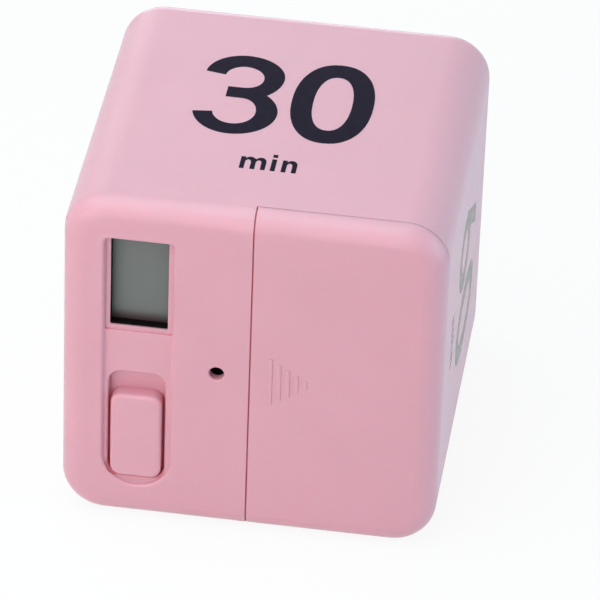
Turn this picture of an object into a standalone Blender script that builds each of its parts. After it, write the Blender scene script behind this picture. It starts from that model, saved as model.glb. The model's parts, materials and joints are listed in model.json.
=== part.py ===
"""Cube timer, in metres, standing on Z = 0 with its display face towards -Y.

Turning the cube so that a number faces up starts the countdown for that number. The right half of
the front is the battery cover, which slides off along +X. The left half holds the display window,
the slide switch and the sound hole. The circuit board, the display and the cells lie behind them.
"""

import math

import bmesh
import bpy
from mathutils import Matrix, Vector

MM = 0.001

# Outer body
SIDE = 62 * MM
EDGE_RADIUS = 7.2 * MM
RIM_FILLET = 3.5 * MM
WALL = 2.0 * MM
FRONT_WALL = 2.0 * MM

# Clearances, and how far joined shapes and cutters run on
GAP = 0.3 * MM
SEAM = 0.25 * MM
CELL_GAP = 0.5 * MM
BITE = 0.5 * MM
OVERRUN = 3.0 * MM
CHAMFER_START = 0.05 * MM
MERGE = 0.005 * MM

# Battery cover and the rails it slides on
COVER_SKIN = 1.5 * MM
COVER_RIM = 1.8 * MM
LIP_REACH = 1.2 * MM
RAIL_WEB = 1.2 * MM
RAIL_START = 1.5 * MM
RAIL_END_MARGIN = 2.3 * MM
TONGUE_WIDTH = 6.0 * MM
TONGUE_THICKNESS = 0.8 * MM
TONGUE_REACH = 2.8 * MM
TONGUE_ROOT = 4.0 * MM
TONGUE_SPREAD = 20.0 * MM
SPLIT_RIB = 1.5 * MM
DECK = 1.6 * MM

# Raised arrow on the battery cover, which points the way the cover slides
ARROW_START = 3.35 * MM
ARROW_PITCH = 1.43 * MM
ARROW_BAR = 0.62 * MM
ARROW_RISE = 0.12 * MM
ARROW_DROP = 0.4 * MM
ARROW_TALLEST = 8.9 * MM
ARROW_BARS = 5

# Sunken channel on the left of the front
CHANNEL_EDGE_OFFSET = 12.6 * MM
CHANNEL_WIDTH = 11.9 * MM
CHANNEL_TOP_MARGIN = 6.5 * MM
CHANNEL_BOTTOM = 6.3 * MM
CHANNEL_DEPTH = 0.9 * MM
CHANNEL_TOP_RADIUS = 0.9 * MM
CHANNEL_COVE = 0.4 * MM
CHANNEL_CHAMFER = 0.3 * MM
CHANNEL_PAD = 0.4 * MM
PAD_MARGIN = 1.4 * MM

# Display window and what is behind it
WINDOW_WIDTH = 9.45 * MM
WINDOW_HEIGHT = 17.25 * MM
WINDOW_TOP_MARGIN = 0.5 * MM
WINDOW_RADIUS = 0.3 * MM
SURROUND_DEPTH = 0.3 * MM
SURROUND_MARGIN = 0.85 * MM
SURROUND_INSET = 0.15 * MM
WINDOW_LIP = 0.4 * MM
COLLAR_WALL = 0.7 * MM
FRAME_FRONT = 0.5 * MM
FRAME_WALL = 0.9 * MM
GLASS_MARGIN = 1.3 * MM
GLASS_FRONT_SHEET = 0.8 * MM
GLASS_REAR_SHEET = 0.8 * MM
GLASS_LEDGE = 2.4 * MM
CONNECTOR_INSET = 0.4 * MM

# Slide switch: its slot, knob, lever and housing
SLOT_WIDTH = 9.4 * MM
SLOT_OFFSET = 0.13 * MM
SLOT_MARGIN = 1.7 * MM
SLOT_RADIUS = 2.3 * MM
SLOT_CHAMFER = 0.2 * MM
KNOB_LENGTH = 16.3 * MM
KNOB_DROP = 0.1 * MM
KNOB_SIDE_GAP = 0.48 * MM
KNOB_EDGE = 0.65 * MM
SWITCH_TRAVEL = 4.0 * MM
SKIRT = 1.0 * MM
SKIRT_MARGIN = 0.7 * MM
SWITCH_WIDTH = 4.4 * MM
SWITCH_LENGTH = 11.5 * MM
SWITCH_DEPTH = 3.6 * MM
SWITCH_SLOT_DEPTH = 1.2 * MM
LEVER_WIDTH = 2.0 * MM
LEVER_LENGTH = 2.5 * MM
LEVER_REACH = 1.7 * MM

# Sound hole and buzzer
HOLE_RIB_OFFSET = 3.8 * MM
HOLE_DROP = 6.8 * MM
HOLE_RADIUS = 1.25 * MM
HOLE_CHAMFER = 0.2 * MM
HOLE_WALL = 1.6 * MM
HOLE_RECESS_RADIUS = 2.2 * MM
BUZZER_RADIUS = 4.4 * MM
BUZZER_PORT_RADIUS = 1.0 * MM
BUZZER_PORT_DEPTH = 1.0 * MM
BUZZER_STEP = 0.4 * MM

# Circuit board and its screws
BOARD_THICKNESS = 1.2 * MM
BOARD_SIDE_MARGIN = 0.5 * MM
BOARD_BAY_MARGIN = 1.2 * MM
BOARD_END_MARGIN = 2.6 * MM
BOARD_RADIUS = 1.5 * MM
BOSS_RADIUS = 1.9 * MM
BOSS_END_INSET = 2.9 * MM
BOSS_FRAME_MARGIN = 1.5 * MM
BOSS_FLOOR = 0.8 * MM
SCREW_RADIUS = 0.8 * MM
SCREW_HEAD_RADIUS = 1.8 * MM
SCREW_HEAD = 1.2 * MM
SCREW_DOME = 0.4 * MM
SCREW_TIP = 0.8 * MM
SCREW_CROSS = 2.2 * MM
SCREW_CROSS_WIDTH = 0.5 * MM
SCREW_CROSS_DEPTH = 0.6 * MM

# Parts on the board, with their places from its lower left corner
CHIP_RADIUS = 5.5 * MM
CHIP_HEIGHT = 1.6 * MM
CHIP_ACROSS = 10.5 * MM
CHIP_UP = 15.5 * MM
CRYSTAL_RADIUS = 1.0 * MM
CRYSTAL_LENGTH = 6.0 * MM
CRYSTAL_ACROSS = 19.5 * MM
CRYSTAL_UP = 19.5 * MM
CAPACITOR_RADIUS = 2.5 * MM
CAPACITOR_HEIGHT = 7.0 * MM
CAPACITOR_GROOVE = 0.25 * MM
CAPACITOR_FOOT = 0.75 * MM
CAPACITOR_ACROSS = 20.5 * MM
CAPACITOR_UP = 33.5 * MM
SENSOR_SIZE = 7.0 * MM
SENSOR_HEIGHT = 5.4 * MM
SENSOR_BEVEL = 0.6 * MM
SENSOR_ACROSS = 9.5 * MM
SENSOR_UP = 36.5 * MM
LED_RADIUS = 1.5 * MM
LED_FLANGE = 0.3 * MM
LED_FLANGE_HEIGHT = 1.0 * MM
LED_HEIGHT = 4.6 * MM
LED_RISE = 10.8 * MM
RESISTOR_WIDTH = 1.25 * MM
RESISTOR_LENGTH = 2.0 * MM
RESISTOR_HEIGHT = 0.6 * MM
RESISTOR_ACROSS = 15.0 * MM
RESISTOR_UP = 27.0 * MM
RESISTOR_PITCH = 3.0 * MM

# Cells and their bay
CELL_RADIUS = 5.25 * MM
CELL_LENGTH = 44.5 * MM
CELL_RIM = 0.5 * MM
NUB_RADIUS = 1.9 * MM
NUB_HEIGHT = 1.0 * MM
CELL_DROP = 0.4 * MM
BAY_WALL = 1.2 * MM
SADDLE_THICKNESS = 1.6 * MM
SADDLE_HEIGHT = 3.4 * MM
SADDLE_SPREAD = 26.0 * MM

# Contacts, springs and wires
PLATE = 0.4 * MM
PLATE_WIDTH = 8.4 * MM
PLATE_FRONT_MARGIN = 1.4 * MM
PLATE_BACK_MARGIN = 1.4 * MM
DIMPLE_RADIUS = 1.6 * MM
DIMPLE_HEIGHT = 0.5 * MM
TAB_WIDTH = 2.4 * MM
TAB_REACH = 1.6 * MM
SPRING_HEIGHT = 4.0 * MM
SPRING_WIRE = 0.5 * MM
SPRING_WIDE_RADIUS = 3.4 * MM
SPRING_NARROW_RADIUS = 1.9 * MM
SPRING_CURLS = 3.5
WIRE_RADIUS = 0.5 * MM
WIRE_DROP = 1.0 * MM
WIRE_PITCH = 2.0 * MM
WIRE_LAND_MARGIN = 7.5 * MM
WIRE_SPREAD = 4.0 * MM
WIRE_BEND = 3.0 * MM

# Rear cover
REAR_FLANGE = 3.2 * MM
REAR_MARGIN = 0.5 * MM
REAR_CORNER = 3.2 * MM
REAR_EDGE = 0.3 * MM
REAR_PLATE = 1.6 * MM
REAR_LEDGE = 1.4 * MM
SNAP_WIDTH = 8.0 * MM
SNAP_THICKNESS = 1.4 * MM
SNAP_BARB = 0.9 * MM
SNAP_BARB_LENGTH = 1.8 * MM

# Steps of the round shapes, which are counts and not lengths
CORNER_STEPS = 10
RIM_STEPS = 5
ARC_STEPS = 6
SMALL_STEPS = 3
ROUND_SIDES = 24
CELL_SIDES = 32
CURL_POINTS = 9
WIRE_STEPS = 5
SMOOTH_ANGLE = math.radians(30)
CIRCULAR = 0.5

# Places worked out from the sizes above
HALF = SIDE / 2
FRONT = -HALF
BACK = HALF
MID = HALF
COVER_BACK = FRONT + RIM_FILLET
DECK_FRONT = COVER_BACK + SEAM
DECK_BACK = DECK_FRONT + DECK
COVER_SKIN_BACK = FRONT + COVER_SKIN
RAIL_THICKNESS = (RIM_FILLET - COVER_SKIN - 2 * GAP) / 2
LIP_FRONT = COVER_BACK - RAIL_THICKNESS
LIP_TIP = COVER_RIM + LIP_REACH
RIB_LEFT = -SEAM / 2 - SPLIT_RIB
TONGUE_BACK = COVER_BACK - GAP / 2
TONGUE_FRONT = TONGUE_BACK - TONGUE_THICKNESS

CHANNEL_X = -HALF + CHANNEL_EDGE_OFFSET
CHANNEL_TOP = SIDE - CHANNEL_TOP_MARGIN
CHANNEL_FLOOR = FRONT + CHANNEL_DEPTH
PAD_BACK = FRONT + FRONT_WALL + CHANNEL_PAD
SKIRT_FRONT = PAD_BACK + GAP
SKIRT_BACK = SKIRT_FRONT + SKIRT
SWITCH_FRONT = SKIRT_BACK + GAP
BOARD_FRONT = SWITCH_FRONT + SWITCH_DEPTH + GAP
BOARD_BACK = BOARD_FRONT + BOARD_THICKNESS
ON_BOARD_FRONT = BOARD_FRONT - GAP
ON_BOARD_BACK = BOARD_BACK + GAP

SLOT_X = CHANNEL_X - SLOT_OFFSET
SLOT_BOTTOM = CHANNEL_BOTTOM + SLOT_MARGIN
SLOT_TOP = SLOT_BOTTOM + KNOB_LENGTH + SWITCH_TRAVEL + 2 * GAP
KNOB_BOTTOM = SLOT_BOTTOM + GAP
KNOB_TOP = KNOB_BOTTOM + KNOB_LENGTH
KNOB_MID = (KNOB_BOTTOM + KNOB_TOP) / 2
SKIRT_REACH = SWITCH_TRAVEL + GAP + SKIRT_MARGIN
SKIRT_HALF = SLOT_WIDTH / 2 + SKIRT_MARGIN

WINDOW_TOP = CHANNEL_TOP - WINDOW_TOP_MARGIN
WINDOW_BOTTOM = WINDOW_TOP - WINDOW_HEIGHT
SURROUND_FLOOR = CHANNEL_FLOOR + SURROUND_DEPTH
WINDOW_LIP_BACK = SURROUND_FLOOR + WINDOW_LIP
GLASS_WIDTH = WINDOW_WIDTH + 2 * GLASS_MARGIN
GLASS_TOP = WINDOW_TOP + GLASS_MARGIN
GLASS_FRONT = SKIRT_FRONT + FRAME_FRONT + GAP
FRAME_EXTRA = GLASS_MARGIN + GAP + FRAME_WALL
HOLE_X = RIB_LEFT - HOLE_RIB_OFFSET
HOLE_Z = WINDOW_BOTTOM - HOLE_DROP
BUZZER_X = RIB_LEFT - GAP - BUZZER_RADIUS

CELL_X = (HALF - WALL) / 2
CELL_Y = DECK_FRONT + CELL_DROP + CELL_RADIUS
CELL_SPREAD = 2 * CELL_RADIUS + CELL_GAP
BAY_WIDTH = CELL_SPREAD + CELL_SPREAD + CELL_GAP
BAY_LOW_X = CELL_X - BAY_WIDTH / 2
BAY_HIGH_X = CELL_X + BAY_WIDTH / 2
BAY_FLOOR = CELL_Y + CELL_RADIUS + CELL_GAP
PLUS_STACK = GAP + PLATE + DIMPLE_HEIGHT + GAP
MINUS_STACK = GAP + PLATE + GAP + SPRING_HEIGHT + GAP
BAY_HEIGHT = CELL_LENGTH + PLUS_STACK + MINUS_STACK
BAY_LOW_Z = MID - BAY_HEIGHT / 2
BAY_HIGH_Z = MID + BAY_HEIGHT / 2
PLATE_LOW_Y = DECK_FRONT + PLATE_FRONT_MARGIN
PLATE_HIGH_Y = BAY_FLOOR - PLATE_BACK_MARGIN
TAB_BACK = BAY_FLOOR + BAY_WALL + TAB_REACH

BOARD_LOW_X = -HALF + WALL + BOARD_SIDE_MARGIN
BOARD_HIGH_X = BAY_LOW_X - BAY_WALL - BOARD_BAY_MARGIN
BOARD_LOW_Z = WALL + BOARD_END_MARGIN
BOARD_HIGH_Z = SIDE - WALL - BOARD_END_MARGIN
BOSS_INNER_X = RIB_LEFT - GAP - BOSS_RADIUS
BOSS_OUTER_X = SLOT_X - SKIRT_HALF - GAP - BOSS_RADIUS
BOSS_OUTER_Z = WINDOW_BOTTOM - FRAME_EXTRA - BOSS_FRAME_MARGIN - BOSS_RADIUS

REAR_SEAT = HALF - RIM_FILLET - REAR_MARGIN
REAR_PLATE_FRONT = BACK - REAR_PLATE
FLANGE_FRONT = BACK - REAR_FLANGE

FACE_FRONT = Matrix.Rotation(math.radians(90), 4, "X")
LOOK_BACK = Matrix.Rotation(math.radians(-90), 4, "X")
FACE_RIGHT = Matrix.Rotation(math.radians(90), 4, "Z") @ FACE_FRONT


def srgb(red, green, blue):
    """A colour given as it looks on a screen, as the linear values that a shader takes."""
    return tuple((value / 255) ** 2.2 for value in (red, green, blue)) + (1.0,)


FINISHES = {
    "pink_plastic": (srgb(228, 170, 184), 0.5, 0.0),
    "black_plastic": (srgb(22, 20, 22), 0.45, 0.0),
    "white_plastic": (srgb(225, 222, 214), 0.45, 0.0),
    "display_glass": (srgb(116, 120, 116), 0.2, 0.0),
    "grey_rubber": (srgb(150, 110, 118), 0.7, 0.0),
    "green_board": (srgb(28, 92, 58), 0.4, 0.0),
    "black_epoxy": (srgb(18, 18, 20), 0.3, 0.0),
    "nickel": (srgb(198, 196, 190), 0.3, 1.0),
    "steel": (srgb(176, 178, 182), 0.35, 1.0),
    "cell_jacket": (srgb(70, 74, 82), 0.3, 0.2),
    "wire_red": (srgb(176, 26, 24), 0.4, 0.0),
    "wire_black": (srgb(20, 20, 22), 0.4, 0.0),
    "clear_led": (srgb(238, 236, 228), 0.15, 0.0),
    "black_resistor": (srgb(30, 30, 34), 0.4, 0.0),
}


def clear_scene():
    for obj in list(bpy.data.objects):
        bpy.data.objects.remove(obj)


def new_collection(name, hidden=False):
    collection = bpy.data.collections.new(name)
    bpy.context.scene.collection.children.link(collection)
    collection.hide_render = hidden
    return collection


clear_scene()
PARTS = new_collection("cube_timer")
CUTTERS = new_collection("cutters", hidden=True)


def finish_of(name):
    """The material of that name, made once."""
    material = bpy.data.materials.get(name) or bpy.data.materials.new(name)
    colour, roughness, metallic = FINISHES[name]
    material.use_nodes = True
    shader = material.node_tree.nodes["Principled BSDF"]
    shader.inputs["Base Color"].default_value = colour
    shader.inputs["Roughness"].default_value = roughness
    shader.inputs["Metallic"].default_value = metallic
    return material


def as_tool(obj):
    """Marks a shape that is cut from or joined to a part, and is no part itself."""
    for collection in obj.users_collection:
        collection.objects.unlink(obj)
    CUTTERS.objects.link(obj)
    obj.hide_render = True
    obj.display_type = "WIRE"
    return obj


def smooth_by_angle():
    """Node group that shades every face smooth, but for the edges that turn more than an angle."""
    group = bpy.data.node_groups.new("smooth_by_angle", "GeometryNodeTree")
    for way in ("INPUT", "OUTPUT"):
        group.interface.new_socket("Geometry", in_out=way, socket_type="NodeSocketGeometry")
    start = group.nodes.new("NodeGroupInput")
    faces = group.nodes.new("GeometryNodeSetShadeSmooth")
    faces.domain = "FACE"
    angle = group.nodes.new("GeometryNodeInputMeshEdgeAngle")
    sharp = group.nodes.new("FunctionNodeCompare")
    sharp.operation = "GREATER_THAN"
    sharp.inputs["B"].default_value = SMOOTH_ANGLE
    edges = group.nodes.new("GeometryNodeSetShadeSmooth")
    edges.domain = "EDGE"
    edges.inputs["Shade Smooth"].default_value = False
    end = group.nodes.new("NodeGroupOutput")
    group.links.new(start.outputs["Geometry"], faces.inputs["Geometry"])
    group.links.new(faces.outputs["Geometry"], edges.inputs["Geometry"])
    group.links.new(angle.outputs["Unsigned Angle"], sharp.inputs["A"])
    group.links.new(sharp.outputs["Result"], edges.inputs["Selection"])
    group.links.new(edges.outputs["Geometry"], end.inputs["Geometry"])
    return group


SMOOTHING = smooth_by_angle()


def as_part(obj, finish):
    """Puts a shape among the parts, with its finish and smooth shading."""
    for collection in obj.users_collection:
        collection.objects.unlink(obj)
    PARTS.objects.link(obj)
    obj.data.materials.clear()
    obj.data.materials.append(finish_of(finish))
    if obj.type == "MESH":
        obj.modifiers.new("Smooth by angle", "NODES").node_group = SMOOTHING
        obj.modifiers.new("Even shading", "WEIGHTED_NORMAL").keep_sharp = True
    return obj


def hang(parent, *children):
    """Parents shapes to an empty without moving them."""
    for child in children:
        child.parent = parent
        child.location -= parent.location


def axis_empty(name, place):
    empty = bpy.data.objects.new(name, None)
    empty.location = place
    PARTS.objects.link(empty)
    return empty


def combine(target, operation, *tools):
    for tool in tools:
        modifier = target.modifiers.new(tool.name, "BOOLEAN")
        modifier.operation = operation
        modifier.object = tool
        modifier.solver = "EXACT"
        if tool.name not in CUTTERS.objects:
            as_tool(tool)


def cut(target, *tools):
    combine(target, "DIFFERENCE", *tools)


def join(target, *tools):
    combine(target, "UNION", *tools)


def keep_inside(target, *tools):
    combine(target, "INTERSECT", *tools)


def object_of(name, bm, place):
    mesh = bpy.data.meshes.new(name)
    bm.to_mesh(mesh)
    bm.free()
    obj = bpy.data.objects.new(name, mesh)
    obj.location = place
    bpy.context.scene.collection.objects.link(obj)
    return obj


def box(name, low, high):
    """A block between two corners."""
    low, high = Vector(low), Vector(high)
    bm = bmesh.new()
    bmesh.ops.create_cube(bm, size=1)
    bmesh.ops.scale(bm, vec=high - low, verts=bm.verts)
    return object_of(name, bm, (low + high) / 2)


def rounded_box(name, low, high, radius, steps, rim=0, rim_steps=0):
    """A block whose four edges along Y are rounded, and then its front and back rims."""
    low, high = Vector(low), Vector(high)
    size = high - low
    bm = bmesh.new()
    bmesh.ops.create_cube(bm, size=1)
    bmesh.ops.scale(bm, vec=size, verts=bm.verts)
    along = [e for e in bm.edges if e.verts[0].co.y * e.verts[1].co.y < 0]
    bmesh.ops.bevel(
        bm, geom=along, offset=radius, segments=steps, profile=CIRCULAR, affect="EDGES"
    )
    if rim:
        ends = [e for e in bm.edges if e.verts[0].co.y * e.verts[1].co.y > 0]
        bmesh.ops.bevel(
            bm, geom=ends, offset=rim, segments=rim_steps, profile=CIRCULAR, affect="EDGES"
        )
    return object_of(name, bm, (low + high) / 2)


def rod(name, start, end, radius, sides=ROUND_SIDES):
    """A round bar between two points."""
    start, end = Vector(start), Vector(end)
    along = end - start
    bm = bmesh.new()
    bmesh.ops.create_cone(
        bm, cap_ends=True, segments=sides, radius1=radius, radius2=radius, depth=along.length
    )
    turn = along.to_track_quat("Z", "Y").to_matrix().to_4x4()
    bmesh.ops.transform(bm, matrix=turn, verts=bm.verts)
    return object_of(name, bm, (start + end) / 2)


def turned(name, profile, place, turn, sides=ROUND_SIDES):
    """A turned shape: the profile's (radius, height) points run from the top down its outside."""
    bm = bmesh.new()
    points = [bm.verts.new((radius, 0, height)) for radius, height in profile]
    for first, second in zip(points, points[1:]):
        bm.edges.new((first, second))
    obj = object_of(name, bm, place)
    obj.rotation_euler = turn.to_euler()
    screw = obj.modifiers.new("Turn", "SCREW")
    screw.axis = "Z"
    screw.angle = math.tau
    screw.steps = sides
    screw.render_steps = sides
    screw.use_merge_vertices = True
    screw.merge_threshold = MERGE
    return obj


def mesh_of(curve_object):
    """The curve's shape as a mesh object in the same place, closed where its caps meet its sides."""
    bpy.context.view_layer.update()
    graph = bpy.context.evaluated_depsgraph_get()
    mesh = bpy.data.meshes.new_from_object(curve_object.evaluated_get(graph))
    bm = bmesh.new()
    bm.from_mesh(mesh)
    bmesh.ops.remove_doubles(bm, verts=bm.verts, dist=MERGE)
    bmesh.ops.recalc_face_normals(bm, faces=bm.faces)
    bm.to_mesh(mesh)
    bm.free()
    name = curve_object.name
    place = curve_object.matrix_world.copy()
    bpy.data.objects.remove(curve_object)
    obj = bpy.data.objects.new(name, mesh)
    obj.matrix_world = place
    bpy.context.scene.collection.objects.link(obj)
    return obj


def outline_solid(name, points, low, high, turn, edge=0, edge_steps=0):
    """A flat outline made solid from low to high along the turned Z axis.

    An edge rounds both ends off: there the solid keeps the outline, and between them it stands
    that much proud of it.
    """
    curve = bpy.data.curves.new(name, "CURVE")
    curve.dimensions = "2D"
    curve.fill_mode = "BOTH"
    curve.extrude = (high - low) / 2 - edge
    curve.bevel_depth = edge
    curve.bevel_resolution = edge_steps
    spline = curve.splines.new("POLY")
    spline.points.add(len(points) - 1)
    for point, (across, up) in zip(spline.points, points):
        point.co = (across, up, 0, 1)
    spline.use_cyclic_u = True
    obj = bpy.data.objects.new(name, curve)
    obj.matrix_world = turn @ Matrix.Translation((0, 0, (low + high) / 2))
    bpy.context.scene.collection.objects.link(obj)
    return mesh_of(obj)


def facing(name, points, front, back, edge=0, edge_steps=0):
    """An outline in X and Z made solid between two depths in Y."""
    return outline_solid(name, points, -back, -front, FACE_FRONT, edge, edge_steps)


def tube(name, points, radius, resolution):
    """An unbroken round tube through the points."""
    curve = bpy.data.curves.new(name, "CURVE")
    curve.dimensions = "3D"
    curve.bevel_depth = radius
    curve.bevel_resolution = resolution
    curve.use_fill_caps = True
    spline = curve.splines.new("POLY")
    spline.points.add(len(points) - 1)
    for point, place in zip(spline.points, points):
        point.co = (*place, 1)
    obj = bpy.data.objects.new(name, curve)
    bpy.context.scene.collection.objects.link(obj)
    return obj


def arc(centre_x, centre_z, radius, start, steps):
    """A quarter turn of points, anticlockwise from a start angle in degrees."""
    angles = [math.radians(start + 90 * step / steps) for step in range(steps + 1)]
    return [(centre_x + radius * math.cos(a), centre_z + radius * math.sin(a)) for a in angles]


def rounded_outline(middle, width, low, high, low_radius, high_radius, steps):
    """A rectangle in X and Z with its lower and its upper corners rounded."""
    right, left = middle + width / 2, middle - width / 2
    return (
        arc(right - high_radius, high - high_radius, high_radius, 0, steps)
        + arc(left + high_radius, high - high_radius, high_radius, 90, steps)
        + arc(left + low_radius, low + low_radius, low_radius, 180, steps)
        + arc(right - low_radius, low + low_radius, low_radius, 270, steps)
    )


def hole_outline(inset):
    radius = HOLE_RADIUS - inset
    angles = [math.tau * side / ROUND_SIDES for side in range(ROUND_SIDES)]
    return [(HOLE_X + radius * math.cos(a), HOLE_Z + radius * math.sin(a)) for a in angles]


def stepped(name, outline, profile):
    """A solid whose outline changes with depth: the profile gives each ring's inset and its Y."""
    bm = bmesh.new()
    rings = []
    for inset, y in profile:
        ring = [bm.verts.new((x, y, z)) for x, z in outline(inset)]
        rings.append([bm.edges.new(pair) for pair in zip(ring, ring[1:] + ring[:1])])
    for first, second in zip(rings, rings[1:]):
        bmesh.ops.bridge_loops(bm, edges=first + second)
    for end in (rings[0], rings[-1]):
        bmesh.ops.contextual_create(bm, geom=end)
    bmesh.ops.recalc_face_normals(bm, faces=bm.faces)
    return object_of(name, bm, (0, 0, 0))


def opening(name, outline, face, chamfer, end):
    """A cutter for an opening in a face at that Y, with a chamfered rim, straight on to its end."""
    wide = chamfer + CHAMFER_START
    return stepped(
        name,
        outline,
        (
            (-wide, face - OVERRUN),
            (-wide, face - CHAMFER_START),
            (0, face + chamfer),
            (0, end),
        ),
    )


def channel_outline(inset):
    """The channel at its wall, drawn in by an inset. Its lower end is half round."""
    width = CHANNEL_WIDTH - 2 * inset
    return rounded_outline(
        CHANNEL_X,
        width,
        CHANNEL_BOTTOM + inset,
        CHANNEL_TOP - inset,
        width / 2,
        CHANNEL_TOP_RADIUS,
        CORNER_STEPS,
    )


def slot_outline(inset):
    radius = SLOT_RADIUS - inset
    return rounded_outline(
        SLOT_X,
        SLOT_WIDTH - 2 * inset,
        SLOT_BOTTOM + inset,
        SLOT_TOP - inset,
        radius,
        radius,
        ARC_STEPS,
    )


def window_outline(extra, radius):
    return rounded_outline(
        CHANNEL_X,
        WINDOW_WIDTH + 2 * extra,
        WINDOW_BOTTOM - extra,
        WINDOW_TOP + extra,
        radius,
        radius,
        SMALL_STEPS,
    )


def around_window(name, extra, front, back):
    """A square-cornered block that stands an extra width outside the window on every side."""
    half = WINDOW_WIDTH / 2 + extra
    return box(
        name,
        (CHANNEL_X - half, front, WINDOW_BOTTOM - extra),
        (CHANNEL_X + half, back, WINDOW_TOP + extra),
    )


def body_block(name):
    """The whole outer form of the cube."""
    return rounded_box(
        name, (-HALF, FRONT, 0), (HALF, BACK, SIDE), EDGE_RADIUS, CORNER_STEPS, RIM_FILLET, RIM_STEPS
    )


def inner_block(name, inset, front, back):
    """A block that keeps an inset from the four number faces, between two depths."""
    return rounded_box(
        name,
        (-HALF + inset, front, inset),
        (HALF - inset, back, SIDE - inset),
        EDGE_RADIUS - inset,
        CORNER_STEPS,
    )


def rear_opening(name, inset, front, back, rim=0):
    """A rounded block for the opening in the back, or the plate that fills it."""
    reach = REAR_SEAT - inset
    low, high = (-reach, front, MID - reach), (reach, back, MID + reach)
    return rounded_box(name, low, high, REAR_CORNER - inset, ARC_STEPS, rim, SMALL_STEPS)


def hollow_body(shell):
    """The inside, the deck and rib behind the battery cover's place, and the rear cover's seat."""
    cut(shell, inner_block("inside", WALL, FRONT + FRONT_WALL, FLANGE_FRONT))
    deck = inner_block("deck_and_rib", WALL / 2, FRONT + FRONT_WALL / 2, DECK_BACK)
    right_part = box(
        "right_part",
        (RIB_LEFT, FRONT, -OVERRUN),
        (HALF + OVERRUN, DECK_BACK + OVERRUN, SIDE + OVERRUN),
    )
    keep_inside(deck, right_part)
    join(shell, deck)
    cover_seat = box(
        "cover_seat",
        (-SEAM / 2, FRONT - OVERRUN, -OVERRUN),
        (HALF + OVERRUN, DECK_FRONT, SIDE + OVERRUN),
    )
    cut(
        shell,
        cover_seat,
        rear_opening("rear_seat", 0, REAR_PLATE_FRONT - GAP, BACK + OVERRUN),
        rear_opening("rear_mouth", REAR_LEDGE, FLANGE_FRONT - OVERRUN, BACK),
    )


def boss_places():
    """Where the board's screws stand, as X and Z."""
    return (
        (BOSS_INNER_X, BOARD_LOW_Z + BOSS_END_INSET),
        (BOSS_INNER_X, BOARD_HIGH_Z - BOSS_END_INSET),
        (BOSS_OUTER_X, BOSS_OUTER_Z),
    )


def on_board(across, up):
    """A place on the board as X and Z."""
    return BOARD_LOW_X + across, BOARD_LOW_Z + up


def join_panel_supports(shell):
    """The thick patch behind the channel, and the bosses that carry the board."""
    reach = CHANNEL_WIDTH / 2 + PAD_MARGIN
    pad = box(
        "channel_pad",
        (CHANNEL_X - reach, FRONT + FRONT_WALL - BITE, CHANNEL_BOTTOM - PAD_MARGIN),
        (CHANNEL_X + reach, PAD_BACK, CHANNEL_TOP + PAD_MARGIN),
    )
    join(shell, pad)
    for number, (x, z) in enumerate(boss_places(), 1):
        boss = rod(
            f"boss_{number}",
            (x, FRONT + FRONT_WALL - BITE, z),
            (x, ON_BOARD_FRONT, z),
            BOSS_RADIUS,
        )
        join(shell, boss)


def join_rails(shell):
    """Two hooked rails on the deck, which the lips of the battery cover run under."""
    start, end = RAIL_START, HALF - EDGE_RADIUS - RAIL_END_MARGIN
    web = MID - LIP_TIP - GAP
    hook = MID - COVER_RIM - GAP
    inner = web - RAIL_WEB
    front = COVER_SKIN_BACK + GAP
    root = DECK_FRONT + BITE
    profile = (
        (front, inner),
        (root, inner),
        (root, web),
        (front + RAIL_THICKNESS, web),
        (front + RAIL_THICKNESS, hook),
        (front, hook),
    )
    for side, way in (("upper", 1), ("lower", -1)):
        points = [(y, MID + way * height) for y, height in profile]
        join(shell, outline_solid(f"rail_{side}", points, start, end, FACE_RIGHT))


def join_battery_bay(shell):
    """The open box behind the deck that holds the two cells."""
    block = box(
        "bay_block",
        (BAY_LOW_X - BAY_WALL, DECK_BACK - BITE, BAY_LOW_Z - BAY_WALL),
        (BAY_HIGH_X + BAY_WALL, BAY_FLOOR + BAY_WALL, BAY_HIGH_Z + BAY_WALL),
    )
    room = box(
        "bay_room",
        (BAY_LOW_X, FRONT - OVERRUN, BAY_LOW_Z),
        (BAY_HIGH_X, BAY_FLOOR, BAY_HIGH_Z),
    )
    join(shell, block)
    cut(shell, room)
    for number, side in enumerate((-1, 1), 1):
        z = MID + side * SADDLE_SPREAD / 2
        saddle = box(
            f"saddle_{number}",
            (BAY_LOW_X - BAY_WALL / 2, BAY_FLOOR - SADDLE_HEIGHT, z - SADDLE_THICKNESS / 2),
            (BAY_HIGH_X + BAY_WALL / 2, BAY_FLOOR + BAY_WALL / 2, z + SADDLE_THICKNESS / 2),
        )
        for cell, x in enumerate(cell_places(), 1):
            groove = rod(
                f"saddle_{number}_groove_{cell}",
                (x, CELL_Y, z - SADDLE_THICKNESS),
                (x, CELL_Y, z + SADDLE_THICKNESS),
                CELL_RADIUS + GAP,
                CELL_SIDES,
            )
            cut(saddle, groove)
        join(shell, saddle)
    for number, x in enumerate(cell_places(), 1):
        cut(shell, tab_slot(f"tab_slot_{number}", x))


def tab_slot(name, x):
    """The slit in the bay's back wall that a contact's tab comes out of."""
    half = TAB_WIDTH / 2 + GAP
    return box(
        name,
        (x - half, PLATE_HIGH_Y, BAY_HIGH_Z - GAP - PLATE - GAP),
        (x + half, TAB_BACK + OVERRUN, BAY_HIGH_Z),
    )


def tongue_heights():
    """The middles of the two tongues that hold the cover's inner edge."""
    return (MID - TONGUE_SPREAD / 2, MID + TONGUE_SPREAD / 2)


def tongue_box(name, z, extra, start, end):
    return box(
        name,
        (start, TONGUE_FRONT - extra, z - TONGUE_WIDTH / 2 - extra),
        (end, TONGUE_BACK + extra, z + TONGUE_WIDTH / 2 + extra),
    )


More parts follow.
